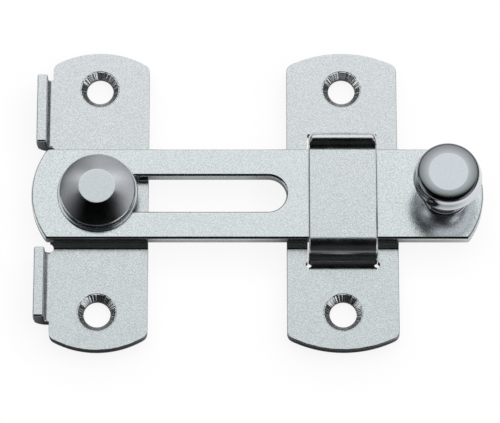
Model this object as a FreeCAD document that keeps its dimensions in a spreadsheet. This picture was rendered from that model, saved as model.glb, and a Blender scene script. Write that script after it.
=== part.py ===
import FreeCAD, Part
import math
import os

import Sketcher

# Bar latch. A flat slotted bar turns and slides on a headed stud riveted to the base plate.
# Swung down, its knob end lies under the tongue of the keeper plate.
# Slid to the left from there, its tail lies between the base plate's tabs and it can't turn.
#
# Frame: the mounting surface is z = 0 and +Z points away from it, towards the user.
# The origin is on the stud's axis, +X runs along the closed bar to its knob,
# and +Y is the side on which the tongue is open and to which the bar swings.

os.makedirs("parts", exist_ok=True)
doc = FreeCAD.newDocument("BarLatch")

# Driving dimensions, in millimetres and degrees
DRIVING = (
    ("sheet_thk", 2.0, "thickness of the sheet of both plates"),
    ("plate_length", 59.4, "length of both plates, tip to tip"),
    ("raise_height", 0.9, "lift of the plates' middle above their screw lobes"),
    ("raise_run", 1.0, "length of the slope up to the raised middle"),
    ("raise_inset", 0.2, "how far the raised middle stops short of the bar's edge"),
    ("raise_round", 0.5, "radius along the creases of the raised middle"),
    ("corner_round", 1.6, "radius of the plates' corners"),
    ("edge_round", 0.3, "radius of the tumbled edges"),
    ("hole_inset", 7.35, "a plate's tip to its screw hole, which puts the two holes 44.7 apart"),
    ("hole_dia", 5.1, "diameter of the screw holes"),
    ("sink_dia", 7.5, "diameter of the countersink at the surface"),
    ("sink_angle", 90.0, "included angle of the countersink"),
    ("base_left", 8.9, "stud axis to the base plate's left edge"),
    ("base_right", 9.45, "stud axis to the base plate's right edge"),
    ("base_arc", 17.0, "radius of the base plate's arched ends, about the stud's midline"),
    ("tab_inset", 3.0, "base plate's left corner to the outer end of the tab"),
    ("tab_bend", 0.9, "inside bend radius of the tabs"),
    ("tab_relief", 1.3, "diameter of the relief hole at a tab's inner end"),
    ("swing_gap", 0.8, "gap between the bar swung square and the tabs"),
    ("lock_gap", 1.45, "gap between the bar and each tab's end when it slides between them"),
    ("keeper_offset", 46.05, "stud axis to the middle of the keeper plate"),
    ("keeper_width", 21.0, "width of the keeper plate"),
    ("keeper_arc", 22.0, "radius of the keeper plate's arched ends"),
    ("tongue_width", 12.9, "width of the keeper's tongue"),
    ("tongue_clear", 0.3, "gap between the bar's face and the tongue"),
    ("tongue_gap", 0.15, "cut between the tongue and the plate's rails"),
    ("tongue_bend", 1.0, "inside bend radius at the tongue's top"),
    ("root_gap", 1.3, "gap between the bar's edge and the tongue's wall"),
    ("root_bend", 1.7, "inside bend radius at the tongue's root"),
    ("relief_dia", 1.2, "relief holes at the corners of the tongue's root"),
    ("lip_inset", 1.2, "how far inside the bar's edge the lip starts to rise"),
    ("lip_bend", 2.0, "bend radius of the lip, on its upper side"),
    ("lip_angle", 35.0, "rise of the lip from the bar's face"),
    ("lip_length", 1.8, "straight length of the lip"),
    ("lip_corner", 1.2, "radius of the lip's corners, and of the window's"),
    ("window_reach", 4.2, "how far the window runs beyond the bar's edge"),
    ("bar_length", 85.0, "overall length of the bar"),
    ("bar_width", 18.0, "width of the bar"),
    ("bar_thk", 2.5, "thickness of the bar"),
    ("bar_arc", 15.5, "radius of the bar's arched ends"),
    ("bar_corner", 0.7, "radius of the bar's corners"),
    ("bar_edge", 0.12, "radius of the bar's tumbled edges"),
    ("bar_float", 0.05, "running gap between the bar and the plates"),
    ("tail_reach", 12.5, "stud axis to the bar's tail when the bar is closed"),
    ("slot_reach", 35.5, "stud axis to the far end of the slot when the bar is closed"),
    ("slot_play", 0.2, "gap all round between the stud's shank and the slot"),
    ("shank_dia", 6.6, "diameter of the stud's shank"),
    ("spigot_dia", 5.0, "diameter of the stud's and the knob's rivet spigots"),
    ("cap_dia", 14.4, "diameter of the stud's cap"),
    ("cap_flat", 6.8, "diameter of the flat on the cap"),
    ("cap_gap", 0.9, "gap between the bar's face and the cap"),
    ("cap_rim", 1.15, "height of the cap's upright rim"),
    ("cap_rise", 2.15, "height of the cap's cone"),
    ("cap_round", 0.2, "radius of the cap's edges"),
    ("rivet_dia", 9.0, "diameter of the stud's tail, spread behind the base plate"),
    ("rivet_thk", 0.7, "thickness of that tail"),
    ("washer_dia", 15.2, "outer diameter of the spring washer"),
    ("washer_thk", 0.5, "thickness of the spring washer"),
    ("washer_play", 0.1, "gap between the washer's bore and the shank"),
    ("washer_float", 0.05, "running gap above and below the washer"),
    ("knob_setback", 7.2, "knob axis to the bar's tip"),
    ("knob_dia", 12.9, "diameter of the knob's head"),
    ("knob_foot", 9.4, "diameter of the knob's foot"),
    ("foot_height", 0.5, "height of the knob's foot"),
    ("collar_dia", 8.4, "diameter of the collar on the knob's foot"),
    ("collar_height", 1.3, "height of that collar above the bar's face"),
    ("neck_dia", 6.0, "diameter of the knob's neck"),
    ("neck_top", 5.6, "height at which the knob's neck meets its head"),
    ("rim_round", 1.3, "radius of the knob's head below its widest line"),
    ("rim_height", 9.5, "height of that widest line above the bar's face"),
    ("shoulder_arc", 2.8, "radius of the knob's head above that line"),
    ("face_dia", 10.8, "diameter of the knob's face"),
    ("face_height", 11.7, "height of that face's edge above the bar's face"),
    ("crown_arc", 30.0, "radius of the knob's domed face"),
    ("tail_sink", 6.8, "diameter of the knob's spread tail, flush under the bar"),
)

sheet = doc.addObject("Spreadsheet::Sheet", "Sizes")
for row, (alias, number, words) in enumerate(DRIVING, start=1):
    sheet.set("A%d" % row, words)
    sheet.set("B%d" % row, str(number))
    sheet.setAlias("B%d" % row, alias)
doc.recompute()


class Size:
    """A length or angle that knows both its number and the expression that gives it."""

    def __init__(self, number, words):
        self.number = float(number)
        self.words = words

    @staticmethod
    def of(value):
        return value if isinstance(value, Size) else Size(value, repr(float(value)))

    def __add__(self, other):
        other = Size.of(other)
        return Size(self.number + other.number, "(%s + %s)" % (self.words, other.words))

    def __sub__(self, other):
        other = Size.of(other)
        return Size(self.number - other.number, "(%s - %s)" % (self.words, other.words))

    def __mul__(self, other):
        other = Size.of(other)
        return Size(self.number * other.number, "(%s * %s)" % (self.words, other.words))

    def __truediv__(self, other):
        other = Size.of(other)
        return Size(self.number / other.number, "(%s / %s)" % (self.words, other.words))

    def __neg__(self):
        return Size(-self.number, "(0 - %s)" % self.words)

    def sqrt(self):
        return Size(math.sqrt(self.number), "sqrt(%s)" % self.words)

    def sin(self):
        return Size(math.sin(math.radians(self.number)), "sin(%s)" % self.words)

    def cos(self):
        return Size(math.cos(math.radians(self.number)), "cos(%s)" % self.words)


def size(alias):
    """The driving dimension of that name."""
    return Size(getattr(sheet, alias), "Sizes.%s" % alias)


ZERO = Size(0, "0")


def bind(thing, prop, value):
    """Tie one property to its expression in the sheet."""
    thing.setExpression(prop, value.words)


def origin_feature(body, role):
    for feature in body.Origin.OriginFeatures:
        if feature.Role == role:
            return feature
    raise ValueError("no origin feature %s" % role)


def new_body(node):
    body = doc.addObject("PartDesign::Body", node)
    body.Label = node
    return body


def arc_middle(start, end, radius):
    """Centre of the arc from start to end. A positive radius turns anticlockwise."""
    chord = end - start
    across = FreeCAD.Vector(-chord.y, chord.x, 0)
    across.normalize()
    rise = math.sqrt(max(radius * radius - chord.Length ** 2 / 4, 0))
    return (start + end) / 2 + across * math.copysign(rise, radius)


def add_loop(sketch, corners):
    """Draw a closed loop and tie each corner, and each arc's radius, to the sheet.

    A corner is (x, y) where a straight side follows it, and (x, y, turn, radius) where an
    arc follows it: turn is 1 for an anticlockwise arc and -1 for a clockwise one.
    """
    first = sketch.GeometryCount
    points = [FreeCAD.Vector(corner[0].number, corner[1].number, 0) for corner in corners]
    ends = []
    for index, corner in enumerate(corners):
        start = points[index]
        end = points[(index + 1) % len(corners)]
        if len(corner) == 2:
            sketch.addGeometry(Part.LineSegment(start, end), False)
            ends.append((1, 2))
            continue
        turn, radius = corner[2], corner[3]
        middle = arc_middle(start, end, turn * radius.number)
        angles = [math.atan2(point.y - middle.y, point.x - middle.x) for point in (start, end)]
        if turn < 0:
            angles.reverse()
        circle = Part.Circle(middle, FreeCAD.Vector(0, 0, 1), radius.number)
        sketch.addGeometry(Part.ArcOfCircle(circle, angles[0], angles[1]), False)
        ends.append((1, 2) if turn > 0 else (2, 1))
    for index, corner in enumerate(corners):
        here = first + index
        following = (index + 1) % len(corners)
        sketch.addConstraint(Sketcher.Constraint(
            "Coincident", here, ends[index][1], first + following, ends[following][0]))
        for kind, axis, value in (("DistanceX", -2, corner[0]), ("DistanceY", -1, corner[1])):
            if value is ZERO:
                sketch.addConstraint(Sketcher.Constraint("PointOnObject", here, ends[index][0], axis))
                continue
            number = sketch.addConstraint(Sketcher.Constraint(
                kind, -1, 1, here, ends[index][0], value.number))
            bind(sketch, "Constraints[%d]" % number, value)
        if len(corner) == 2:
            continue
        # Half a circle is fixed by the place of its middle, any other arc by its radius
        if abs((points[(index + 1) % len(corners)] - points[index]).Length / 2
               - corner[3].number) > 1e-6:
            number = sketch.addConstraint(Sketcher.Constraint("Radius", here, corner[3].number))
            bind(sketch, "Constraints[%d]" % number, corner[3])
        elif corner[0] is ZERO:
            sketch.addConstraint(Sketcher.Constraint("PointOnObject", here, 3, -2))
        else:
            number = sketch.addConstraint(Sketcher.Constraint(
                "DistanceX", -1, 1, here, 3, corner[0].number))
            bind(sketch, "Constraints[%d]" % number, corner[0])


def add_circle(sketch, x, y, diameter):
    """A circle tied to the sheet by its middle and diameter."""
    middle = FreeCAD.Vector(x.number, y.number, 0)
    here = sketch.addGeometry(Part.Circle(middle, FreeCAD.Vector(0, 0, 1), diameter.number / 2), False)
    for kind, axis, value in (("DistanceX", -2, x), ("DistanceY", -1, y)):
        if value is ZERO:
            sketch.addConstraint(Sketcher.Constraint("PointOnObject", here, 3, axis))
            continue
        number = sketch.addConstraint(Sketcher.Constraint(kind, -1, 1, here, 3, value.number))
        bind(sketch, "Constraints[%d]" % number, value)
    number = sketch.addConstraint(Sketcher.Constraint("Diameter", here, diameter.number))
    bind(sketch, "Constraints[%d]" % number, diameter)


def new_sketch(body, name, plane, shift=None):
    """A sketch on one of the body's own origin planes, moved by shift in the plane's axes."""
    sketch = body.newObject("Sketcher::SketchObject", name)
    sketch.AttachmentSupport = [(origin_feature(body, plane), "")]
    sketch.MapMode = "FlatFace"
    for axis, value in (shift or {}).items():
        bind(sketch, "AttachmentOffset.Base.%s" % axis, value)
    return sketch


def pad(body, name, sketch, length, length_back=None):
    """Extrude evenly both ways from the sketch, or length one way and length_back the other."""
    feature = body.newObject("PartDesign::Pad", name)
    feature.Profile = sketch
    bind(feature, "Length", length)
    if length_back is None:
        feature.SideType = "Symmetric"
    else:
        feature.SideType = "Two sides"
        bind(feature, "Length2", length_back)
    doc.recompute()
    return feature


def cut_through(body, name, sketch, depth):
    """Pocket evenly both ways from the sketch, and make sure that it removed something."""
    before = body.Shape.Volume
    feature = body.newObject("PartDesign::Pocket", name)
    feature.Profile = sketch
    feature.SideType = "Symmetric"
    bind(feature, "Length", depth)
    doc.recompute()
    if body.Shape.Volume >= before:
        raise RuntimeError("%s cuts nothing" % name)
    return feature


def revolve(body, name, sketch, kind="PartDesign::Revolution"):
    """Turn a half profile about the sketch's upright axis."""
    before = body.Shape.Volume if kind == "PartDesign::Groove" else None
    feature = body.newObject(kind, name)
    feature.Profile = sketch
    feature.ReferenceAxis = (sketch, ["V_Axis"])
    feature.Angle = 360
    doc.recompute()
    if before is not None and body.Shape.Volume >= before:
        raise RuntimeError("%s cuts nothing" % name)
    return feature


def round_edges(body, name, radius, wanted):
    """Fillet every edge of the finished feature for which wanted(edge, faces) is true."""
    base = body.Tip
    shape = base.Shape
    names = []
    for index, edge in enumerate(shape.Edges, start=1):
        if edge.Degenerated:
            continue
        if wanted(edge, shape.ancestorsOfType(edge, Part.Face)):
            names.append("Edge%d" % index)
    if not names:
        raise RuntimeError("%s finds no edges" % name)
    feature = body.newObject("PartDesign::Fillet", name)
    feature.Base = (base, names)
    bind(feature, "Radius", radius)
    doc.recompute()
    return feature


def middle_of(edge):
    return edge.valueAt((edge.FirstParameter + edge.LastParameter) / 2)


def normal_at(face, point):
    u, v = face.Surface.parameter(point)
    return face.normalAt(u, v)


def is_sharp(edge, faces):
    """True for a convex edge between an upright wall and a face that looks up or down."""
    if len(faces) != 2:
        return False
    point = middle_of(edge)
    normals = [normal_at(face, point) for face in faces]
    steep = [abs(normal.z) < 0.02 for normal in normals]
    flat = [abs(normal.z) > 0.5 for normal in normals]
    if not ((steep[0] and flat[1]) or (steep[1] and flat[0])):
        return False
    inward = point - (normals[0] + normals[1]) * 0.05
    outward = point + (normals[0] + normals[1]) * 0.05
    solid = current_solid[0]
    return solid.isInside(inward, 1e-6, False) and not solid.isInside(outward, 1e-6, False)


current_solid = [None]


def round_sharp_edges(body, name, radius, skip):
    """Tumble the piece: round its sharp edges but those whose middle skip(point) is true for."""
    current_solid[0] = body.Tip.Shape
    return round_edges(body, name, radius,
                       lambda edge, faces: is_sharp(edge, faces) and not skip(middle_of(edge)))


def is_upright(edge):
    """True for a straight edge along Z."""
    ends = [vertex.Point for vertex in edge.Vertexes]
    return len(ends) == 2 and abs((ends[1] - ends[0]).normalize().z) > 0.999


# Heights above the mounting surface
sheet_thk = size("sheet_thk")
raised_top = sheet_thk + size("raise_height")
bar_bottom = raised_top + size("bar_float")
bar_top = bar_bottom + size("bar_thk")
cap_bottom = bar_top + size("cap_gap")
through = sheet_thk * 12

# Places across the latch
half_plate = size("plate_length") / 2
half_bar = size("bar_width") / 2
raised_half = half_bar - size("raise_inset")
slot_width = size("shank_dia") + size("slot_play") * 2
knob_x = size("bar_length") - size("tail_reach") - size("knob_setback")


def plate_profile(sketch):
    """The bent sheet from the side: two screw lobes and the raised middle between them."""
    foot = raised_half + size("raise_run")
    rise = size("raise_height")
    add_loop(sketch, [
        (-half_plate, ZERO), (-foot, ZERO), (-raised_half, rise), (raised_half, rise),
        (foot, ZERO), (half_plate, ZERO), (half_plate, sheet_thk), (foot, sheet_thk),
        (raised_half, raised_top), (-raised_half, raised_top), (-foot, sheet_thk),
        (-half_plate, sheet_thk)])


def round_creases(body):
    """Round the four upper and four lower creases of the raised middle."""
    foot = raised_half.number + size("raise_run").number

    def is_crease(edge, faces):
        box = edge.BoundBox
        along = box.XLength > 1 and box.YLength < 0.001 and box.ZLength < 0.001
        place = abs(box.YMin)
        return along and (abs(place - foot) < 0.001 or abs(place - raised_half.number) < 0.001)

    round_edges(body, "creases", size("raise_round"), is_crease)


def arch(half_width, radius):
    """Height lost from the tip of an arched end to its corners."""
    return radius - (radius * radius - half_width * half_width).sqrt()


def trim_to(body, outline):
    """Cut the plate to its outline: everything outside the loop goes."""
    sketch = new_sketch(body, "outline", "XY_Plane")
    reach = size("plate_length")
    add_loop(sketch, [(-reach, -reach), (reach, -reach), (reach, reach), (-reach, reach)])
    add_loop(sketch, outline)
    cut_through(body, "trim", sketch, through)


def round_corners(body, radius, places):
    """Round the upright edges that stand at the given places."""

    def is_corner(edge, faces):
        if not is_upright(edge):
            return False
        point = edge.Vertexes[0].Point
        return any(math.hypot(point.x - x.number, point.y - y.number) < 0.01 for x, y in places)

    round_edges(body, "corners", radius, is_corner)


def screw_holes(body):
    """Two countersunk holes, one in each lobe."""
    sketch = new_sketch(body, "hole_places", "XY_Plane", {"z": sheet_thk})
    for way in (1, -1):
        add_circle(sketch, ZERO, (half_plate - size("hole_inset")) * way, size("hole_dia"))
    doc.recompute()
    before = body.Shape.Volume
    hole = body.newObject("PartDesign::Hole", "screw_holes")
    hole.Profile = sketch
    doc.recompute()
    hole.ThreadType = "None"
    hole.HoleCutType = "Countersink"
    hole.HoleCutCustomValues = True
    hole.DepthType = "ThroughAll"
    bind(hole, "Diameter", size("hole_dia"))
    bind(hole, "HoleCutDiameter", size("sink_dia"))
    bind(hole, "HoleCutCountersinkAngle", size("sink_angle"))
    doc.recompute()
    if body.Shape.Volume >= before:
        raise RuntimeError("screw holes cut nothing")


def make_base_plate():
    """Stamped plate with two upturned tabs on its left edge, which stop and lock the bar."""
    body = new_body("base_plate")
    left = size("base_left")
    right = size("base_right")
    side = new_sketch(body, "side", "YZ_Plane")
    plate_profile(side)
    pad(body, "sheet", side, right, left)
    round_creases(body)

    # The arched ends are centred on the stud, and the plate reaches further to its right
    arc = size("base_arc")
    right_y = half_plate - arch(right, arc)
    left_y = half_plate - arch(left, arc)
    trim_to(body, [
        (right, -right_y), (right, right_y, 1, arc), (-left, left_y), (-left, -left_y, 1, arc)])
    round_corners(body, size("corner_round"), [
        (right, right_y), (right, -right_y), (-left, left_y), (-left, -left_y)])
    round_sharp_edges(body, "tumbled", size("edge_round"), lambda point: False)

    # One tab, bent up from the lobe's edge, and its mirror image on the other lobe
    tab_face = half_bar + size("swing_gap")
    bend_x = tab_face - size("tab_bend")
    tab_near = half_bar + size("lock_gap")
    tab_far = left_y - size("tab_inset")
    tab_length = tab_far - tab_near
    relief = new_sketch(body, "relief_places", "XY_Plane")
    for way in (1, -1):
        add_circle(relief, -left, (tab_near - size("tab_relief") / 2) * way, size("tab_relief"))
    cut_through(body, "relief", relief, through)
    tab = new_sketch(body, "tab_side", "XZ_Plane", {"z": -(tab_near + tab_length / 2)})
    bend = size("tab_bend")
    outer = bend + sheet_thk
    middle_z = sheet_thk + bend
    root = bend_x - sheet_thk
    add_loop(tab, [
        (-root, ZERO), (-root, sheet_thk), (-bend_x, sheet_thk, -1, bend), (-tab_face, middle_z),
        (-tab_face, bar_top), (-(tab_face + sheet_thk), bar_top),
        (-(tab_face + sheet_thk), middle_z, 1, outer), (-bend_x, ZERO)])
    first = pad(body, "tab", tab, tab_length)
    other = body.newObject("PartDesign::Mirrored", "tabs")
    other.Originals = [first]
    other.MirrorPlane = (origin_feature(body, "XZ_Plane"), [""])
    body.Tip = other
    doc.recompute()
    round_sharp_edges(body, "tumbled_tabs", size("edge_round"), lambda point: (
        point.z < bar_top.number - 0.01))

    screw_holes(body)
    rivet = new_sketch(body, "rivet_place", "XY_Plane")
    add_circle(rivet, ZERO, ZERO, size("spigot_dia"))
    cut_through(body, "rivet_hole", rivet, through)
    return body


def in_hole(point):
    """True for a point in one of the keeper plate's screw holes."""
    place = (half_plate - size("hole_inset")).number
    reach = size("sink_dia").number / 2 + 0.01
    return any(math.hypot(point.x, point.y - y) < reach for y in (place, -place))


def make_keeper_plate():
    """Stamped plate with a tongue lanced from its middle, open towards +Y, that holds the bar."""
    body = new_body("keeper_plate")
    bind(body, "Placement.Base.x", size("keeper_offset"))
    half_width = size("keeper_width") / 2
    side = new_sketch(body, "side", "YZ_Plane")
    plate_profile(side)
    pad(body, "sheet", side, half_width, half_width)
    round_creases(body)
    arc = size("keeper_arc")
    corner_y = half_plate - arch(half_width, arc)
    trim_to(body, [(half_width, -corner_y), (half_width, corner_y, 1, arc),
                   (-half_width, corner_y), (-half_width, -corner_y, 1, arc)])
    round_corners(body, size("corner_round"),
                  [(x, y) for x in (half_width, -half_width) for y in (corner_y, -corner_y)])

    # The window that the tongue leaves, with the rounded corners of the tongue's end
    wall_in = half_bar + size("root_gap")
    wall_out = wall_in + sheet_thk
    root_y = wall_out + size("root_bend")
    half_tongue = size("tongue_width") / 2
    half_window = half_tongue + size("tongue_gap")
    window_far = half_bar + size("window_reach")
    corner = size("lip_corner")
    window = new_sketch(body, "window_outline", "XY_Plane")
    add_loop(window, [
        (-half_window, -root_y), (half_window, -root_y),
        (half_window, window_far - corner, 1, corner), (half_window - corner, window_far),
        (corner - half_window, window_far, 1, corner), (-half_window, window_far - corner)])
    cut_through(body, "window", window, through)

    # The tongue from the side: root bend, wall, top bend, flat over the bar, flared lip
    under = bar_top + size("tongue_clear")
    top = under + sheet_thk
    root = size("root_bend")
    root_z = sheet_thk + root
    bend = size("tongue_bend")
    bend_y = bend - wall_in
    bend_z = under - bend
    lip_y = half_bar - size("lip_inset")
    angle = size("lip_angle")
    above = size("lip_bend")
    below = above + sheet_thk
    run = size("lip_length") * angle.cos()
    climb = size("lip_length") * angle.sin()
    turned = Size(1, "1") - angle.cos()
    upper_y = lip_y + above * angle.sin()
    upper_z = top + above * turned
    lower_y = lip_y + below * angle.sin()
    lower_z = under + below * turned
    tongue = new_sketch(body, "tongue_side", "YZ_Plane")
    add_loop(tongue, [
        (-(root_y + sheet_thk), ZERO), (-root_y, ZERO, 1, root + sheet_thk), (-wall_in, root_z),
        (-wall_in, bend_z, -1, bend), (bend_y, under), (lip_y, under, 1, below),
        (lower_y, lower_z), (lower_y + run, lower_z + climb), (upper_y + run, upper_z + climb),
        (upper_y, upper_z, -1, above), (lip_y, top), (bend_y, top, 1, bend + sheet_thk),
        (-wall_out, bend_z), (-wall_out, root_z, -1, root), (-root_y, sheet_thk),
        (-(root_y + sheet_thk), sheet_thk)])
    pad(body, "tongue", tongue, size("tongue_width"))
    relief = new_sketch(body, "relief_places", "XY_Plane")
    relief_x = half_window - size("relief_dia") / 6
    relief_y = root_y - size("relief_dia") * 7 / 8
    for way in (1, -1):
        add_circle(relief, relief_x * way, -relief_y, size("relief_dia"))
    cut_through(body, "relief", relief, root_z * 2)

    tip_y = (lower_y + run).number
    tip_x = half_tongue.number

    def is_lip_corner(edge, faces):
        point = middle_of(edge)
        short = edge.Length < sheet_thk.number * 1.01
        return short and abs(abs(point.x) - tip_x) < 0.01 and point.y > upper_y.number + run.number \
            and point.y < tip_y and point.z > under.number

    round_edges(body, "lip_corners", corner, is_lip_corner)
    screw_holes(body)
    inside_x = half_width.number - 1
    inside_y = root_y.number + 1
    round_sharp_edges(body, "tumbled", size("edge_round"), lambda point: in_hole(point) or (
        abs(point.x) < inside_x and abs(point.y) < inside_y))

    def on_rim(face, point):
        """True for the tongue's sheared faces: its sides, its end and the corners between."""
        normal = normal_at(face, point)
        across = normal.y * angle.cos().number + normal.z * angle.sin().number
        if abs(abs(point.x) - tip_x) < 0.01 and abs(normal.x) > 0.999:
            return True
        return point.y > upper_y.number + 0.5 and math.hypot(normal.x, across) > 0.999

    def is_tongue_rim(edge, faces):
        point = middle_of(edge)
        if abs(point.x) > tip_x + 0.01 or len(faces) != 2 or point.z < raised_top.number + 0.2:
            return False
        return on_rim(faces[0], point) != on_rim(faces[1], point)

    round_edges(body, "tongue_rim", size("edge_round"), is_tongue_rim)
    return body


def make_slide_bar():
    """Flat bar with arched ends, a long slot for the stud and a hole for the knob's rivet."""
    body = new_body("slide_bar")
    bind(body, "Placement.Base.z", bar_bottom)
    thick = size("bar_thk")
    tail = size("tail_reach")
    tip = size("bar_length") - tail
    sag = arch(half_bar, size("bar_arc"))
    arc = size("bar_arc")
    outline = new_sketch(body, "outline", "XY_Plane", {"z": thick / 2})
    add_loop(outline, [(sag - tail, -half_bar), (tip - sag, -half_bar, 1, arc),
                       (tip - sag, half_bar), (sag - tail, half_bar, 1, arc)])
    pad(body, "flat", outline, thick)
    round_corners(body, size("bar_corner"),
                  [(x, y) for x in (sag - tail, tip - sag) for y in (half_bar, -half_bar)])

    # The slot's near end stands off the shank by the same play as its sides
    half_slot = slot_width / 2
    far = size("slot_reach") - half_slot
    slot = new_sketch(body, "slot_outline", "XY_Plane")
    add_loop(slot, [(ZERO, -half_slot), (far, -half_slot, 1, half_slot),
                    (far, half_slot), (ZERO, half_slot, 1, half_slot)])
    cut_through(body, "slot", slot, through)

    # The knob's hole, countersunk from below for its spread tail
    seat = new_sketch(body, "seat", "XZ_Plane", {"x": knob_x})
    hole = size("spigot_dia") / 2
    sink = size("tail_sink") / 2
    add_loop(seat, [(ZERO, ZERO), (sink, ZERO), (hole, sink - hole), (hole, thick), (ZERO, thick)])
    revolve(body, "knob_hole", seat, "PartDesign::Groove")
    near_knob = sink.number + 0.01
    round_sharp_edges(body, "tumbled", size("bar_edge"), lambda point: math.hypot(
        point.x - knob_x.number, point.y) < near_knob)
    return body


def make_guide_stud():
    """Turned stud: coned cap, shank through the slot, spigot through the plate, spread tail."""
    body = new_body("guide_stud")
    shank = size("shank_dia") / 2
    spigot = size("spigot_dia") / 2
    tail = size("rivet_dia") / 2
    rise = size("raise_height")
    rim_top = cap_bottom + size("cap_rim")
    cap_top = rim_top + size("cap_rise")
    half = new_sketch(body, "half_profile", "XZ_Plane")
    add_loop(half, [
        (ZERO, rise - size("rivet_thk")), (tail, rise - size("rivet_thk")), (tail, rise),
        (spigot, rise), (spigot, raised_top), (shank, raised_top), (shank, cap_bottom),
        (size("cap_dia") / 2, cap_bottom), (size("cap_dia") / 2, rim_top),
        (size("cap_flat") / 2, cap_top), (ZERO, cap_top)])
    revolve(body, "turned", half)

    def is_cap_edge(edge, faces):
        return edge.BoundBox.ZMin > cap_bottom.number - 0.01 and edge.BoundBox.ZLength < 0.01 \
            and edge.BoundBox.XLength > size("cap_flat").number - 0.01

    round_edges(body, "cap_edges", size("cap_round"), is_cap_edge)
    return body


def make_spring_washer():
    """Dished washer under the cap, which presses on the bar and keeps it where it is put."""
    body = new_body("spring_washer")
    bore = size("shank_dia") / 2 + size("washer_play")
    outer = size("washer_dia") / 2
    low = bar_top + size("washer_float")
    high = cap_bottom - size("washer_float")
    half = new_sketch(body, "half_profile", "XZ_Plane")
    add_loop(half, [(bore, high - size("washer_thk")), (outer, low),
                    (outer, low + size("washer_thk")), (bore, high)])
    revolve(body, "dished", half)
    return body


def make_pull_knob():
    """Turned knob: foot and collar, neck, bulged head with a domed face, and a flush tail."""
    body = new_body("pull_knob")
    bind(body, "Placement.Base.x", knob_x)
    bind(body, "Placement.Base.z", bar_bottom)
    thick = size("bar_thk")
    spigot = size("spigot_dia") / 2
    sink = size("tail_sink") / 2
    foot = size("knob_foot") / 2
    foot_top = thick + size("foot_height")
    collar = size("collar_dia") / 2
    collar_top = thick + size("collar_height")
    neck = size("neck_dia") / 2
    rim = size("rim_round")
    widest = size("knob_dia") / 2
    rim_z = thick + size("rim_height")
    face = size("face_dia") / 2
    face_z = thick + size("face_height")
    crown = size("crown_arc")
    top = face_z + arch(face, crown)
    half = new_sketch(body, "half_profile", "XZ_Plane")
    add_loop(half, [
        (ZERO, ZERO), (sink, ZERO), (spigot, sink - spigot), (spigot, thick), (foot, thick),
        (foot, foot_top), (collar, foot_top), (collar, collar_top), (neck, collar_top),
        (neck, thick + size("neck_top")), (widest - rim, rim_z - rim, 1, rim),
        (widest, rim_z, 1, size("shoulder_arc")), (face, face_z, 1, crown), (ZERO, top)])
    revolve(body, "turned", half)
    return body


bodies = [make_base_plate(), make_keeper_plate(), make_guide_stud(), make_spring_washer(),
          make_slide_bar(), make_pull_knob()]
doc.recompute()

for thing in doc.Objects:
    if "Invalid" in thing.State or "Error" in thing.State:
        raise RuntimeError("%s failed: %s" % (thing.Name, thing.State))
for body in bodies:
    shape = body.Shape
    if shape.isNull() or not shape.isValid() or len(shape.Solids) != 1:
        raise RuntimeError("%s is not one valid solid" % body.Label)
    shape.exportStep("parts/%s.step" % body.Label)
    box = shape.optimalBoundingBox(False, False)
    print("%-14s x %6.2f to %6.2f  y %6.2f to %6.2f  z %5.2f to %5.2f  volume %8.1f mm3" % (
        body.Label, box.XMin, box.XMax, box.YMin, box.YMax, box.ZMin, box.ZMax, shape.Volume))
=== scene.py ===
# %% [markdown]
# A bar latch in stainless steel: two pressed plates, a flat bar that turns and slides on a headed stud,
# and a turned knob. The CAD model comes in first as a fixed frame, in metres, with its mounting surface
# at z = 0. Everything in this lesson is made around that frame and never moves it.

# %% Load the frame
import math

import bmesh
import bpy
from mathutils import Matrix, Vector


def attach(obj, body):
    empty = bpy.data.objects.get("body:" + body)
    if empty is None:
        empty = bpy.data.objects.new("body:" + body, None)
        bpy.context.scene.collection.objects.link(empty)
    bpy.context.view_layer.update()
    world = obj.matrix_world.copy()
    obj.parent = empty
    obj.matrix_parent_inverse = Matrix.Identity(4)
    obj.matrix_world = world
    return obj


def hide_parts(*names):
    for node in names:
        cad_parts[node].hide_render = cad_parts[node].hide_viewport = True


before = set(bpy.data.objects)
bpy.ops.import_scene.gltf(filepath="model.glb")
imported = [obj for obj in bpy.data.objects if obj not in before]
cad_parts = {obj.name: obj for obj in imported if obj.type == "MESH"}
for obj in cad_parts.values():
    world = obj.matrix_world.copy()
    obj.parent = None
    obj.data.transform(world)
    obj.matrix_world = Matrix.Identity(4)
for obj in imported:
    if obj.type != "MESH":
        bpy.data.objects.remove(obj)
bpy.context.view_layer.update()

MM = 0.001
print("CAD nodes:", sorted(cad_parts))

# %% [markdown]
# The camera looks down on the latch from in front, about 70 degrees above the mounting surface, through
# a long lens, so that the far and the near screw holes come out almost the same size. A long lens far
# away is the usual choice for small hardware, because it bends straight edges least.

# %% Camera
CAMERA_TILT = math.radians(19.5)
CAMERA_PLACE = (28.62, -228.5, 640.6)  # in millimetres
LENS = 258.7

bpy.ops.object.camera_add(location=[value * MM for value in CAMERA_PLACE], rotation=(CAMERA_TILT, 0, 0))
camera = bpy.context.object
camera.name = "camera"
camera.data.sensor_width = 36
camera.data.lens = LENS
camera.data.clip_start = 0.05
camera.data.clip_end = 10
bpy.context.scene.camera = camera
print("camera at", [round(value, 4) for value in camera.location])

# %% [markdown]
# World, floor and finishes are all node trees, so two small helpers come first: one adds a node and sets
# its sockets, and one joins two sockets. They keep each recipe below short enough to read.

# %% Node helpers
def add(tree, kind, settings=None, **sockets):
    """Add a node; settings are its own properties, sockets its inputs by name or as _0, _1."""
    node = tree.nodes.new(kind)
    for key, value in (settings or {}).items():
        setattr(node, key, value)
    for key, value in sockets.items():
        socket = node.inputs[int(key[1:])] if key[0] == "_" else node.inputs[key.replace("_", " ")]
        if isinstance(value, bpy.types.NodeSocket):
            tree.links.new(value, socket)
        else:
            socket.default_value = value
    return node


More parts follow.
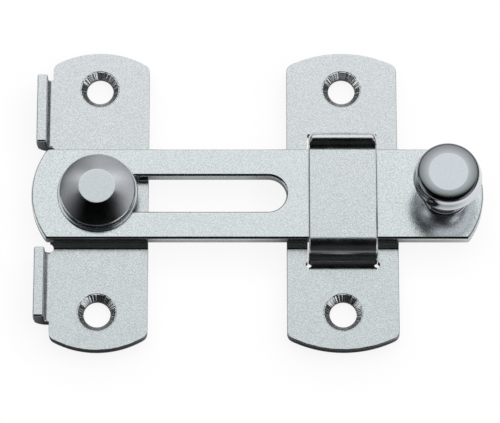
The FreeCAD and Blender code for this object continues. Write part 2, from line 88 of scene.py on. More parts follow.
def math_node(tree, operation, *values):
    """A Math node, by its operation and its two or three values or sockets."""
    sockets = {"_%d" % number: value for number, value in enumerate(values)}
    return add(tree, "ShaderNodeMath", {"operation": operation}, **sockets).outputs[0]


def smooth_step(tree, value, low, high, start=0.0, end=1.0):
    """A soft rise of value from start to end between low and high."""
    node = add(tree, "ShaderNodeMapRange", {"interpolation_type": "SMOOTHSTEP"}, Value=value,
               From_Min=low, From_Max=high, To_Min=start, To_Max=end)
    return node.outputs[0]


def ramp(tree, value, stops):
    """A colour ramp through (place, level or colour) stops."""
    node = add(tree, "ShaderNodeValToRGB", Fac=value)
    elements = node.color_ramp.elements
    while len(elements) < len(stops):
        elements.new(0.5)
    for element, (place, level) in zip(elements, stops):
        element.position = place
        element.color = (*level, 1) if isinstance(level, tuple) else (level, level, level, 1)
    return node.outputs[0]


def turned(stops):
    """Stops given in degrees from -180 to 180, as a ramp's places from 0 to 1."""
    return [((degrees + 180) / 360, level) for degrees, level in stops]


# %% [markdown]
# Steel shows what is round it more than it shows itself, so most of its look is the room. The latch was
# lit by one large soft light above and behind it. The room in front of it is dark, which draws the black
# lines along every edge that leans to the front, and the right side of the room is lighter than the left.
# Two ramps stand for the room: one goes round the horizon, one over the top from front to back.
# First come the walls. They fade out upwards, and into a dark skirting at the horizon.

# %% Walls of the room
world = bpy.data.worlds.new("studio")
bpy.context.scene.world = world
world.use_nodes = True
room = world.node_tree
room.nodes.clear()

direction = add(room, "ShaderNodeTexCoord").outputs["Generated"]
axes = add(room, "ShaderNodeSeparateXYZ", _0=direction)
east, north, up = axes.outputs

compass = math_node(room, "ARCTAN2", north, east)
round_room = add(room, "ShaderNodeMapRange", Value=compass, From_Min=-math.pi, From_Max=math.pi).outputs[0]
# Degrees round the horizon from the latch's right (0), through its back (90) to its left (180)
walls = ramp(room, round_room, turned([
    (-180, 0.27), (-168, 0.20), (-131, 0.01), (-49, 0.05), (-12, 0.80), (20, 0.65), (47, 0.46),
    (70, 0.57), (90, 0.60), (110, 0.40), (133, 0.33), (160, 0.40), (180, 0.27)]))
low_down = smooth_step(room, up, 0.50, 0.80, 1.0, 0.03)
sideways = math_node(room, "MULTIPLY", east, east)
above_skirting = math_node(room, "MULTIPLY_ADD", sideways, -0.42, up)
skirting = smooth_step(room, above_skirting, 0.0, 0.15, 0.04, 1.0)
walls_level = add(room, "ShaderNodeVectorMath", {"operation": "SCALE"}, _0=walls,
                  Scale=math_node(room, "MULTIPLY", low_down, skirting)).outputs[0]
print("the walls take", len(room.nodes), "nodes")

# %% [markdown]
# Two small soft lamps stand low down, one at the left and one at the front right. They put the short
# bright strips on the rims and bends that lean that way. Each lamp is a stretch of the horizon times a
# band of height, both with soft ends.

# %% Low lamps
lamp_sides = ramp(room, round_room, turned([
    (-180, 1.0), (-160, 1.0), (-148, 0.0), (-64, 0.0), (-50, 1.0), (-26, 1.0), (-12, 0.0),
    (168, 0.0), (178, 1.0)]))
lamp_rows = math_node(room, "MULTIPLY", smooth_step(room, up, 0.03, 0.12),
                      smooth_step(room, up, 0.34, 0.44, 1.0, 0.0))
lamp_mask = math_node(room, "MULTIPLY", lamp_sides, lamp_rows)
with_lamp = add(room, "ShaderNodeMix", {"data_type": "RGBA"}, _0=lamp_mask, _6=walls_level,
                _7=(1.3, 1.3, 1.3, 1)).outputs[2]
print("with the lamps it takes", len(room.nodes), "nodes")

# %% [markdown]
# The large light hangs above and behind, a little green in front and whiter and brighter to the back.
# The camera itself doesn't see this room: the Light Path node gives it plain white paper instead.

# %% Large light, and what the camera sees
lean = math_node(room, "ARCTAN2", north, up)
over_room = add(room, "ShaderNodeMapRange", Value=lean, From_Min=-math.pi, From_Max=math.pi).outputs[0]
# Degrees off the zenith, towards the back
light_rows = ramp(room, over_room, turned([
    (-180, 0.0), (6, 0.0), (15, 1.0), (52, 1.0), (72, 0.0), (180, 0.0)]))
light_sides = smooth_step(room, math_node(room, "ABSOLUTE", east), 0.50, 0.85, 1.0, 0.0)
light_mask = math_node(room, "MULTIPLY", light_rows, light_sides)
light_level = ramp(room, over_room, turned([
    (-180, (0.90, 0.98, 0.96)), (16, (0.90, 0.97, 0.95)), (22, (1.03, 1.04, 1.04)),
    (45, (1.15, 1.15, 1.17)), (180, (1.1, 1.1, 1.1))]))

seen_room = add(room, "ShaderNodeMix", {"data_type": "RGBA"}, _0=light_mask, _6=with_lamp,
                _7=light_level).outputs[2]
reflected = add(room, "ShaderNodeBackground", Color=seen_room, Strength=1.0)
paper_white = add(room, "ShaderNodeBackground", Color=(1, 1, 1, 1), Strength=1.0)
camera_ray = add(room, "ShaderNodeLightPath").outputs["Is Camera Ray"]
mixed = add(room, "ShaderNodeMixShader", _0=camera_ray, _1=reflected.outputs[0],
            _2=paper_white.outputs[0])
add(room, "ShaderNodeOutputWorld", _0=mixed.outputs[0])
print("the whole room takes", len(room.nodes), "nodes")

# %% [markdown]
# The latch lies on white paper. The paper glows, and the camera sees it as white with a faint painted shadow
# at the walls' feet. In the steel the same paper shows a painted shade, darker close to a wall and towards
# the dark front, and this draws the walls of the plates as grey lines. Ambient occlusion that leans towards
# the light paints both shades.

# %% Floor
bpy.ops.object.select_all(action="DESELECT")
bpy.ops.mesh.primitive_plane_add(size=6, location=(0.03, 0, -0.0003))
floor = bpy.context.object
floor.name = "floor"
paper = bpy.data.materials.new("white_paper")
paper.use_nodes = True
tree = paper.node_tree
tree.nodes.clear()
lit = add(tree, "ShaderNodeBsdfDiffuse", Color=(0.8, 0.8, 0.8, 1))
ray = add(tree, "ShaderNodeLightPath").outputs
to_light = add(tree, "ShaderNodeCombineXYZ", _0=0.28, _1=0.60, _2=0.75).outputs[0]
open_sky = add(tree, "ShaderNodeAmbientOcclusion", {"samples": 8}, Distance=0.008,
               Normal=to_light).outputs["AO"]
spot = add(tree, "ShaderNodeNewGeometry").outputs["Position"]
spot_north = add(tree, "ShaderNodeSeparateXYZ", _0=spot).outputs[1]
# Painted shade: the paper that the steel sees glows dimmer towards the front and, by the ambient occlusion,
# close to the walls
painted_front_shade = smooth_step(tree, spot_north, -0.040, -0.014, 0.22, 1.0)
shaded = add(tree, "ShaderNodeEmission", Color=(1, 1, 1, 1), Strength=math_node(
    tree, "MULTIPLY", painted_front_shade, math_node(tree, "POWER", open_sky, 2.2)))
# Painted shadow: the paper that the camera sees glows a little dimmer where the ambient occlusion is low
white = add(tree, "ShaderNodeEmission", Color=(1, 1, 1, 1),
            Strength=math_node(tree, "MULTIPLY_ADD", open_sky, 0.15, 0.85))
mirrored = add(tree, "ShaderNodeMixShader", _0=ray["Is Glossy Ray"], _1=lit.outputs[0],
               _2=shaded.outputs[0])
mixed = add(tree, "ShaderNodeMixShader", _0=ray["Is Camera Ray"], _1=mirrored.outputs[0],
            _2=white.outputs[0])
add(tree, "ShaderNodeOutputMaterial", _0=mixed.outputs[0])
floor.data.materials.append(paper)
print("floor at", round(floor.location.z / MM, 2), "mm")

# %% [markdown]
# Some finishes change from place to place: the screw holes' cones are rougher than the plates round them,
# and the knob's face has a polished ring. So the places of the screw holes and of the knob are set down
# first, and two helpers give a surface point in millimetres and its distance from an axis.

# %% Places
PLATE_HALF = 29.7
HOLE_Y = 22.35
HOLE_RADIUS = 2.55
SINK_RADIUS = 3.75
KEEPER_X = 46.05
KNOB_X = 65.3
print("screw holes at x 0 and", KEEPER_X, "and y", HOLE_Y, "either way; knob at x", KNOB_X)


def place_in_mm(tree):
    """The object's own coordinates in millimetres, as three sockets."""
    place = add(tree, "ShaderNodeTexCoord").outputs["Object"]
    scaled = add(tree, "ShaderNodeVectorMath", {"operation": "SCALE"}, _0=place, Scale=1000.0).outputs[0]
    return add(tree, "ShaderNodeSeparateXYZ", _0=scaled).outputs


def far_from(tree, x, y):
    """The length of a flat vector."""
    flat = add(tree, "ShaderNodeCombineXYZ", _0=x, _1=y).outputs[0]
    return add(tree, "ShaderNodeVectorMath", {"operation": "LENGTH"}, _0=flat).outputs["Value"]


# %% [markdown]
# Tumbled stainless has a fine mottled grain, a little lighter and darker from spot to spot, with small
# hollows. Two noises give it: one about a quarter of a millimetre across, one a few millimetres across.
# Three places differ. The walls that were sheared and that face front or back are painted dark: partly the
# dull of the shear, partly painted shade. The screw holes' cones have chatter marks, which a noise that only
# changes round the hole gives. The knob's face has a polished ring, painted darker towards its rim as
# painted shade, round a disc left matte. Each place is a mask, made by a function of its own.

# %% Masks for the chatter marks and the painted shade
def sink_streaks(tree, hole_x):
    """Chatter marks: a height that changes round the screw holes and is nothing away from them."""
    x, y = place_in_mm(tree)[:2]
    across = math_node(tree, "SUBTRACT", x, hole_x)
    along = math_node(tree, "SUBTRACT", math_node(tree, "ABSOLUTE", y), HOLE_Y)
    inside = smooth_step(tree, far_from(tree, across, along), 3.5, 3.7, 1.0, 0.0)
    around = math_node(tree, "ARCTAN2", along, across)
    # Sine and cosine of the angle make a ring of the noise, with no seam
    ring = add(tree, "ShaderNodeCombineXYZ", _0=math_node(tree, "COSINE", around),
               _1=math_node(tree, "SINE", around), _2=math_node(tree, "SIGN", y)).outputs[0]
    marks = add(tree, "ShaderNodeTexNoise", Vector=ring, Scale=5.0, Detail=1.5, Roughness=0.6)
    return math_node(tree, "MULTIPLY", inside, marks.outputs[0])


def knob_ring_painted_shade(tree):
    """Painted shade on the polished ring of the knob's face, growing from about a third to one towards its
    rim; nothing on its matte disc and its sides.
    """
    x, y, z = place_in_mm(tree)
    radius = far_from(tree, math_node(tree, "SUBTRACT", x, KNOB_X), y)
    outwards = add(tree, "ShaderNodeMapRange", Value=radius, From_Min=3.6, From_Max=5.3, To_Min=0.35,
                   To_Max=1.0).outputs[0]
    on_face = math_node(tree, "MULTIPLY", smooth_step(tree, radius, 3.5, 3.75),
                        smooth_step(tree, z, 16.9, 17.1))
    return math_node(tree, "MULTIPLY", on_face, outwards)


def dull_wall_and_painted_shade(tree, top=6.0):
    """Painted shade with the dull of the shear: one on walls cut through the sheet that face front or back,
    nothing on its faces and on a wall's lowest part.
    """
    height = place_in_mm(tree)[2]
    facing = add(tree, "ShaderNodeTexCoord").outputs["Normal"]
    normal = add(tree, "ShaderNodeSeparateXYZ", _0=facing).outputs
    upright = smooth_step(tree, math_node(tree, "ABSOLUTE", normal[2]), 0.2, 0.4, 1.0, 0.0)
    endways = smooth_step(tree, math_node(tree, "ABSOLUTE", normal[1]), 0.3, 0.5)
    wall = math_node(tree, "MULTIPLY", upright, endways)
    rows = math_node(tree, "MULTIPLY", smooth_step(tree, height, 0.3, 0.8),
                     smooth_step(tree, height, top, top + 0.2, 1.0, 0.0))
    return math_node(tree, "MULTIPLY", wall, rows)


# %% [markdown]
# One function makes every steel here, since the pieces differ only in tint, gloss and how strong their
# grain is. The grain steers both the colour and a shallow bump, so that light and dark spots are also
# small hollows, and the broad noise alone steers the gloss.

# %% Steel
# The colour that painted shade mixes in; on the sheet walls it also stands for the dull of the shear
SHADE_AND_DULL_TINT = (0.20, 0.21, 0.22, 1)


def steel(name, tint, roughness, grain, wear=0.15, hole_x=None, dark_part=None):
    """Stainless steel with a mottled grain, chatter marks in the screw holes or a part painted darker as
    shade, on walls with the dull of the shear.
    """
    material = bpy.data.materials.new(name)
    material.use_nodes = True
    tree = material.node_tree
    shader = tree.nodes["Principled BSDF"]
    shader.inputs["Metallic"].default_value = 1
    # The grain is cut askew, so that no flat face falls on one layer of the noise
    place = add(tree, "ShaderNodeVectorRotate", {"rotation_type": "EULER_XYZ"}, Rotation=(0.7, 0.5, 0.3),
                Vector=add(tree, "ShaderNodeTexCoord").outputs["Object"]).outputs[0]
    fine = add(tree, "ShaderNodeTexNoise", Vector=place, Scale=4000.0, Detail=2.0, Roughness=0.6)
    broad = add(tree, "ShaderNodeTexNoise", Vector=place, Scale=420.0, Detail=4.0, Roughness=0.6)
    mottle = math_node(tree, "MULTIPLY_ADD", broad.outputs[0], 0.15, math_node(
        tree, "MULTIPLY", fine.outputs[0], 0.85))
    dark = tuple(value * (1 - wear) for value in tint)
    light = tuple(min(value * (1 + wear), 1) for value in tint)
    color = ramp(tree, mottle, [(0.38, dark), (0.62, light)])
    gloss = smooth_step(tree, broad.outputs[0], 0.3, 0.7, roughness * 0.85, roughness * 1.15)
    normal = add(tree, "ShaderNodeBump", Strength=grain, Distance=0.02 * MM, Height=mottle).outputs[0]
    # Painted shade: the dark part's mask mixes in the shade tint
    if dark_part is not None:
        color = add(tree, "ShaderNodeMix", {"data_type": "RGBA"}, _0=dark_part(tree), _6=color,
                    _7=SHADE_AND_DULL_TINT).outputs[2]
    if hole_x is not None:
        normal = add(tree, "ShaderNodeBump", Strength=1.0, Distance=0.4 * MM,
                     Height=sink_streaks(tree, hole_x), Normal=normal).outputs[0]
    tree.links.new(color, shader.inputs["Base Color"])
    tree.links.new(gloss, shader.inputs["Roughness"])
    tree.links.new(normal, shader.inputs["Normal"])
    return material


# The plates' front and back walls get painted shade with the dull of the shear
base_steel = steel("base_steel", (0.69, 0.715, 0.73), 0.22, 0.8, hole_x=0.0, dark_part=dull_wall_and_painted_shade)
keeper_steel = steel("keeper_steel", (0.69, 0.715, 0.73), 0.22, 0.8, hole_x=KEEPER_X,
                     dark_part=lambda tree: dull_wall_and_painted_shade(tree, 2.1))
bar_steel = steel("bar_steel", (0.69, 0.72, 0.735), 0.16, 0.8)
stud_steel = steel("stud_steel", (0.60, 0.63, 0.66), 0.16, 0.3, wear=0.05)
# The knob's ring gets painted shade that darkens towards its rim
knob_steel = steel("knob_steel", (0.62, 0.65, 0.69), 0.12, 0.3, wear=0.04, dark_part=knob_ring_painted_shade)
print("finishes:", [finish.name for finish in (base_steel, keeper_steel, bar_steel, stud_steel, knob_steel)])

# %% [markdown]
# Every piece ends in the same way: it gets its one finish, takes the place of its CAD node, and rides on
# the body that moves it. A cut can leave old slots behind, so they are cleared first.

# %% Handing over
def hand_over(piece, finish, node, body):
    """Give a piece its one finish and put it in the place of its CAD node."""
    piece.data.materials.clear()
    piece.data.materials.append(finish)
    piece.data.polygons.foreach_set("material_index", [0] * len(piece.data.polygons))
    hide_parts(node)
    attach(piece, body)
    print(piece.name, "has", len(piece.data.polygons), "faces")


# %% [markdown]
# The stud, the washer and the knob were turned, so they are made the same way here: a single point is
# drawn out along half of the outline, and that line is spun once round the axis.

# %% Lathe
BAR_FACE = 5.45  # the height of the bar's upper face


def deselect():
    """Leave edit mode and select nothing."""
    if bpy.context.mode != "OBJECT":
        bpy.ops.object.mode_set(mode="OBJECT")
    bpy.ops.object.select_all(action="DESELECT")


def arc_points(center, radius, start, end, count):
    """Points on an arc, in degrees, both ends included."""
    steps = [start + (end - start) * step / (count - 1) for step in range(count)]
    return [(center[0] + radius * math.cos(math.radians(step)),
             center[1] + radius * math.sin(math.radians(step))) for step in steps]


def only(piece):
    """Make a piece the only selected one, in object mode."""
    deselect()
    piece.select_set(True)
    bpy.context.view_layer.objects.active = piece


def draw_line(name, points):
    """Draw a single point out through (x, y, z) points in millimetres, and stay in edit mode."""
    deselect()
    bpy.ops.mesh.primitive_plane_add(size=1 * MM, location=Vector(points[0]) * MM)
    piece = bpy.context.object
    piece.name = name
    bpy.ops.object.transform_apply(location=True, rotation=True, scale=True)
    bpy.ops.object.mode_set(mode="EDIT")
    bpy.ops.mesh.select_mode(type="VERT")
    bpy.ops.mesh.merge(type="CENTER")
    for here, there in zip(points, points[1:]):
        step = Vector([end - start for start, end in zip(here, there)]) * MM
        bpy.ops.mesh.extrude_region_move(TRANSFORM_OT_translate={"value": step})
    bpy.ops.mesh.select_all(action="SELECT")
    return piece


def turn_piece(name, axis_x, outline, closed=False, steps=96):
    """Spin an outline of (radius, height) points, in millimetres, round an upright axis."""
    points = outline + outline[:1] if closed else outline
    piece = draw_line(name, [(axis_x + radius, 0, height) for radius, height in points])
    bpy.ops.mesh.spin(steps=steps, angle=math.tau, center=(axis_x * MM, 0, 0), axis=(0, 0, 1))
    bpy.ops.mesh.select_all(action="SELECT")
    bpy.ops.mesh.remove_doubles(threshold=0.002 * MM)
    bpy.ops.mesh.normals_make_consistent(inside=False)
    bpy.ops.object.mode_set(mode="OBJECT")
    print(name, "has", len(piece.data.polygons), "faces")
    return piece


def smooth_by_angle(piece, angle):
    """Shade a piece smooth except across edges sharper than the angle, in degrees."""
    only(piece)
    bpy.ops.object.shade_smooth_by_angle(angle=math.radians(angle))


# %% [markdown]
# The stud is the pivot: a flat foot under the plate, a shank through the bar's slot, and a wide head with
# a cone and a flat top. Its rim is a small arc, since a turned edge is always broken a little, and the
# cone keeps one straight line in the outline, so that the light runs round it as one even sweep.

# %% Stud
stud_outline = [(0, 0.2), (4.5, 0.2), (4.5, 0.9), (2.5, 0.9), (2.5, 2.9), (3.3, 2.9), (3.3, 6.35),
                (6.9, 6.35)]
stud_outline += arc_points((6.95, 6.6), 0.25, -60, 0, 4)
stud_outline += arc_points((6.7, 7.27), 0.5, 0, 60.5, 8)
stud_outline += [(3.45, 9.61), (3.36, 9.645), (3.2, 9.65), (2.6, 9.65), (1.3, 9.65), (0, 9.65)]
stud = turn_piece("stud", 0, stud_outline)
smooth_by_angle(stud, 20)
hand_over(stud, stud_steel, "guide_stud", "mounting")

# %% [markdown]
# The washer is a dished spring ring under the stud's head. It keeps the bar from swinging by itself. Its
# outline is closed, so the spin makes a ring, with a rounded outer lip that shows as a thin line.

# %% Washer
washer_outline = [(3.4, 5.82), (5.6, 5.62), (7.2, 5.53)]
washer_outline += arc_points((7.3, 5.8), 0.3, -75, 60, 9)
washer_outline += [(7.0, 6.08), (5.6, 6.16), (3.4, 6.29)]
washer = turn_piece("washer", 0, washer_outline, closed=True)
smooth_by_angle(washer, 30)
hand_over(washer, stud_steel, "spring_washer", "swivel")

# %% [markdown]
# The knob is riveted into the bar: a cone below fills the bar's hole, a foot sits on the bar, and a waisted
# neck carries a head that widens downwards. The camera looks down along that slope, so the head's rim
# shows as one clean circle, and the shoulder above it is round enough to pick up the dark room.

# %% Knob
knob_outline = [(0, 3.02), (3.35, 3.02), (2.5, 3.85), (2.5, BAR_FACE), (4.5, BAR_FACE)]
above_bar = arc_points((4.4, 0.25), 0.25, -60, 60, 7) + [(4.3, 0.55), (4.2, 0.7)]
above_bar += arc_points((3.95, 1.05), 0.25, 0, 80, 5) + [(3.1, 1.42), (3.0, 1.6), (3.0, 4.6), (3.2, 5.4)]
above_bar += [(3.6, 6.3), (4.2, 7.1), (4.9, 7.7)]
above_bar += arc_points((5.7, 8.75), 0.72, -60, 18, 9)
above_bar += [(6.25, 9.5), (6.05, 10.1), (5.85, 10.65)]
above_bar += arc_points((4.95, 11.0), 0.95, 16, 84, 9)
above_bar += [(4.7, 11.98), (4.3, 12.01), (3.8, 12.03), (3.65, 12.04), (3.55, 12.04), (3.4, 12.04),
              (2.0, 12.04), (0, 12.04)]
knob_outline += [(radius, BAR_FACE + height) for radius, height in above_bar]
knob = turn_piece("knob", KNOB_X, knob_outline)
smooth_by_angle(knob, 28)
hand_over(knob, knob_steel, "pull_knob", "bar")

# %% [markdown]
# The two plates are blanked from 2 mm sheet and then bent. So each one starts here as a flat face: a point
# is drawn out round the outline and the loop is filled. The creases are cut in, the middle is lifted,
# and what stands up is drawn out of an edge. Only then does the sheet get its thickness, and its sharp
# edges the roll that the punch and the tumbler leave.

# %% Blanks
SHEET = 2.0


def arched_end(half_length, left, right, arc, corner):
    """Points over an arched end with rounded corners, from its right side to its left."""
    heart = half_length - arc
    turns = []
    for side in (right, left):
        rise = math.sqrt((arc - corner) ** 2 - (side - corner) ** 2)
        turns.append((rise, math.degrees(math.atan2(rise, side - corner))))
    points = arc_points((right - corner, heart + turns[0][0]), corner, 0, turns[0][1], 7)
    points += arc_points((0, heart), arc, turns[0][1], 180 - turns[1][1], 40)[1:-1]
    return points + arc_points((corner - left, heart + turns[1][0]), corner, 180 - turns[1][1], 180, 7)


def blank(name, outline, height):
    """A flat face inside an outline of (x, y) points, in millimetres."""
    piece = draw_line(name, [(x, y, height) for x, y in outline + outline[:1]])
    bpy.ops.mesh.remove_doubles(threshold=0.01 * MM)
    bpy.ops.mesh.select_all(action="SELECT")
    bpy.ops.mesh.edge_face_add()
    bpy.ops.mesh.normals_make_consistent(inside=False)
    bpy.ops.object.mode_set(mode="OBJECT")
    if piece.data.polygons[0].normal.z < 0:
        piece.data.flip_normals()
    return piece


# %% [markdown]
# Working by hand, a maker clicks on what to move. In code the parts are chosen by where they lie, so one
# helper selects the corners, edges or faces that pass a test of their place. Another cuts lines across a
# piece, because a flat face only bends where it has an edge.

# %% Choosing and cutting
def work_on(piece):
    """Make a piece the only selected one and go into edit mode."""
    only(piece)
    bpy.ops.object.mode_set(mode="EDIT")


def cut_lines(piece, axis, places):
    """Cut a piece across an axis (0 for x, 1 for y) at some places in millimetres."""
    work_on(piece)
    for place in places:
        point = [0, 0, 0]
        point[axis] = place * MM
        normal = [0, 0, 0]
        normal[axis] = 1
        bpy.ops.mesh.select_all(action="SELECT")
        bpy.ops.mesh.bisect(plane_co=point, plane_no=normal, threshold=1e-7)
    bpy.ops.object.mode_set(mode="OBJECT")


def choose(piece, kind, test, along=None):
    """Select the vertices, edges or faces whose corners, in millimetres, all pass a test.

    With an axis given, only edges that run along it are taken.
    """
    work_on(piece)
    bpy.ops.mesh.select_mode(type=kind)
    bpy.ops.mesh.select_all(action="DESELECT")
    mesh = bmesh.from_edit_mesh(piece.data)
    parts = {"VERT": mesh.verts, "EDGE": mesh.edges, "FACE": mesh.faces}[kind]
    count = 0
    for part in parts:
        corners = [part.co] if kind == "VERT" else [vertex.co for vertex in part.verts]
        if along is not None:
            run = corners[1] - corners[0]
            if abs(run[along]) < 0.999 * run.length:
                continue
        if all(test(*(corner / MM)) for corner in corners):
            part.select_set(True)
            count += 1
    mesh.select_flush_mode()
    bmesh.update_edit_mesh(piece.data)
    return count


# %% [markdown]
# Thickness comes from Solidify and holes from Boolean, both applied at once. The flat faces are joined
# before a plate gets its thickness and again once the holes are cut, because a bevel follows whatever edges
# it meets. A large flat face next to a rolled edge would shade as if it were curved, and Weighted Normal
# puts that right.

# %% Finishing the sheet
def finish_modifier(piece, name, kind, **settings):
    """Add a modifier and apply it."""
    only(piece)
    modifier = piece.modifiers.new(name, kind)
    for key, value in settings.items():
        setattr(modifier, key, value)
    bpy.ops.object.modifier_apply(modifier=name)


def join_flats(piece):
    """Join the faces that lie in one plane."""
    work_on(piece)
    bpy.ops.mesh.select_all(action="SELECT")
    bpy.ops.mesh.dissolve_limited(angle_limit=math.radians(0.5))
    bpy.ops.object.mode_set(mode="OBJECT")


def thicken(piece):
    """Give a face the sheet's thickness, downwards."""
    join_flats(piece)
    finish_modifier(piece, "thickness", "SOLIDIFY", thickness=SHEET * MM, offset=-1, use_even_offset=True,
                    use_quality_normals=True)


def roll_edges(piece, width, test, profile=0.5, segments=5, slide=True, clamp=False):
    """Round the sharp edges that pass a test of their middle and their direction.

    A profile above a half rolls shallow before the corner. The rounding slides along creases that meet
    the edge, but on a flat face with a hole it must not. Clamped, all of it is as narrow as its
    tightest place needs, so the width given is only the most it may be.
    """
    work_on(piece)
    bpy.ops.mesh.select_mode(type="EDGE")
    bpy.ops.mesh.select_all(action="DESELECT")
    mesh = bmesh.from_edit_mesh(piece.data)
    count = 0
    for edge in mesh.edges:
        sharp = len(edge.link_faces) == 2 and edge.calc_face_angle() > math.radians(40)
        ends = [vertex.co / MM for vertex in edge.verts]
        if sharp and test((ends[0] + ends[1]) / 2, (ends[1] - ends[0]).normalized()):
            edge.select_set(True)
            count += 1
    mesh.select_flush_mode()
    bmesh.update_edit_mesh(piece.data)
    bpy.ops.mesh.bevel(offset=width * MM, segments=segments, profile=profile, affect="EDGES",
                       clamp_overlap=clamp, loop_slide=slide)
    bpy.ops.object.mode_set(mode="OBJECT")
    print(piece.name, "rolled along", count, "edges")


def take_out(piece, cutter):
    """Cut a closed shape out of a piece and delete the shape."""
    finish_modifier(piece, "cut", "BOOLEAN", operation="DIFFERENCE", object=cutter, solver="MANIFOLD")
    deselect()
    cutter.select_set(True)
    bpy.ops.object.delete()


def flat_shading(piece):
    """Smooth shading in which the large flat faces stay flat."""
    smooth_by_angle(piece, 32)
    finish_modifier(piece, "true_flats", "WEIGHTED_NORMAL", keep_sharp=True, weight=100)


# %% [markdown]
# The screw holes are drilled through and then countersunk. A countersink that chatters leaves facets
# round the cone, and these catch the light one by one, so the cutter here is spun with few steps.

# %% Countersink
def countersink(x, y):
    """A drill with a cone on it, standing in a screw hole."""
    drill = turn_piece("countersink", 0, [
        (0, -1), (HOLE_RADIUS, -1), (HOLE_RADIUS, 0.8), (SINK_RADIUS, SHEET),
        (SINK_RADIUS + 1, SHEET + 1), (0, SHEET + 1)], steps=40)
    work_on(drill)
    bpy.ops.mesh.select_all(action="SELECT")
    bpy.ops.transform.translate(value=(x * MM, y * MM, 0))
    bpy.ops.object.mode_set(mode="OBJECT")
    return drill


# %% [markdown]
# The base plate carries the stud. Its middle is pressed up by 0.9 mm, which clears the stud's foot, and two
# tabs stand up on its left side. A round notch at each crease keeps the sheet from tearing where the
# crease meets a tab. The tabs are bent by spinning their root edges, as the press does, and then drawn up.

# %% Base plate: blank and creases
LEFT = 8.9
RIGHT = 9.45
BASE_ARC = 17.0
CORNER = 1.6
TAB_NEAR = 10.45
TAB_FAR = 24.18
CREASES = (8.8, 9.8)
CREASE_LINES = [-CREASES[1], -CREASES[0], CREASES[0], CREASES[1]]
CREASE_ROUND = 0.19
RAISE = 0.9


def on_crease_line(x, y, z):
    """True on the four lines along which a plate is creased."""
    return any(abs(abs(y) - line) < 0.01 for line in CREASES)


notch = arc_points((-LEFT, CREASES[1]), 0.65, 90, -90, 9)
end = arched_end(PLATE_HALF, LEFT, RIGHT, BASE_ARC, CORNER) + [(-LEFT, TAB_FAR)] + notch
base = blank("base_sheet", end + [(x, -y) for x, y in reversed(end)], SHEET)
cut_lines(base, 1, CREASE_LINES)
choose(base, "VERT", lambda x, y, z: abs(y) < CREASES[0] + 0.01)
bpy.ops.transform.translate(value=(0, 0, RAISE * MM))
# The notch's points between the creases follow the slope
for level in [y for x, y in notch if y < CREASES[1] - 0.01]:
    choose(base, "VERT", lambda x, y, z: abs(abs(y) - level) < 0.01 and z < SHEET + 0.01)
    bpy.ops.transform.translate(value=(0, 0, RAISE * (CREASES[1] - level) * MM))
print("creases:", choose(base, "EDGE", on_crease_line, along=0))
bpy.ops.mesh.bevel(offset=CREASE_ROUND * MM, segments=4, affect="EDGES")

# %% [markdown]
# Each tab is one edge of the blank. Spun a quarter turn round a line above the sheet it makes the bend, and
# drawn up from there it makes the tab's wall.

# %% Base plate: tabs
TAB_AXIS = 2.9
TAB_RISE = 2.55

for way in (1, -1):
    found = choose(base, "EDGE", lambda x, y, z: (
        abs(x + LEFT) < 0.01 and TAB_NEAR - 0.01 < y * way < TAB_FAR + 0.01))
    print("tab root edges:", found)
    bpy.ops.mesh.spin(steps=6, angle=-math.pi / 2, center=(-LEFT * MM, 0, TAB_AXIS * MM), axis=(0, 1, 0))
    bpy.ops.mesh.extrude_region_move(TRANSFORM_OT_translate={"value": (0, 0, TAB_RISE * MM)})
bpy.ops.object.mode_set(mode="OBJECT")
thicken(base)

# %% [markdown]
# The tabs' edges roll by 0.4 mm. The plate's own roll is clamped, so the short edges of its outline hold it
# to about a tenth of a millimetre. It stops short of the notches, and of the creases, where it would fold
# over itself. The holes come last, so that their rims stay sharp.

# %% Base plate: edges and holes
def on_crease(point):
    """The steep strip beside a plate's raised middle."""
    return 8.0 < abs(point.y) < 10.6


def at_notch(point):
    """Near a round notch beside a tab."""
    return math.hypot(point.x + LEFT, abs(point.y) - CREASES[1]) < 0.9


roll_edges(base, 0.6, profile=0.55, clamp=True, test=lambda middle, run: (
    middle.z < 2.95 and abs(run.z) < 0.3 and not at_notch(middle) and not on_crease(middle)))
roll_edges(base, 0.4, profile=0.55, test=lambda middle, run: middle.z > 2.0 and abs(middle.y) > 10)
for way in (1, -1):
    take_out(base, countersink(0, HOLE_Y * way))
join_flats(base)
flat_shading(base)
hand_over(base, base_steel, "base_plate", "mounting")

# %% [markdown]
# The keeper's tongue is lanced out of the plate's own middle and bent over the bar. It is made like that
# here too: the window is cut free, and the tongue is drawn out of the window's front edge through its
# root bend, its wall, its top bend and its flared lip. The lip's end is rounded over like a bull nose.

# %% Keeper plate: blank and window
KEEPER_HALF = 10.5
KEEPER_ARC = 22.0
TONGUE_HALF = 6.45
WINDOW_HALF = 6.6
WINDOW = (-14.0, 13.2)

end = arched_end(PLATE_HALF, KEEPER_HALF, KEEPER_HALF, KEEPER_ARC, CORNER)
keeper = blank("keeper_sheet", end + [(x, -y) for x, y in reversed(end)], SHEET)
cut_lines(keeper, 1, [*CREASE_LINES, *WINDOW])
cut_lines(keeper, 0, [-WINDOW_HALF, -TONGUE_HALF, TONGUE_HALF, WINDOW_HALF])
choose(keeper, "VERT", lambda x, y, z: abs(y) < 9)
bpy.ops.transform.translate(value=(0, 0, RAISE * MM))
choose(keeper, "FACE", lambda x, y, z: (
    abs(x) < WINDOW_HALF + 0.01 and WINDOW[0] - 0.01 < y < WINDOW[1] + 0.01))
bpy.ops.mesh.delete(type="FACE")
print("window corners:", choose(keeper, "VERT", lambda x, y, z: (
    abs(abs(x) - WINDOW_HALF) < 0.01 and abs(y - WINDOW[1]) < 0.01)))
bpy.ops.mesh.bevel(offset=1.2 * MM, segments=6, affect="VERTICES")
choose(keeper, "EDGE", on_crease_line, along=0)
bpy.ops.mesh.bevel(offset=CREASE_ROUND * MM, segments=4, affect="EDGES")

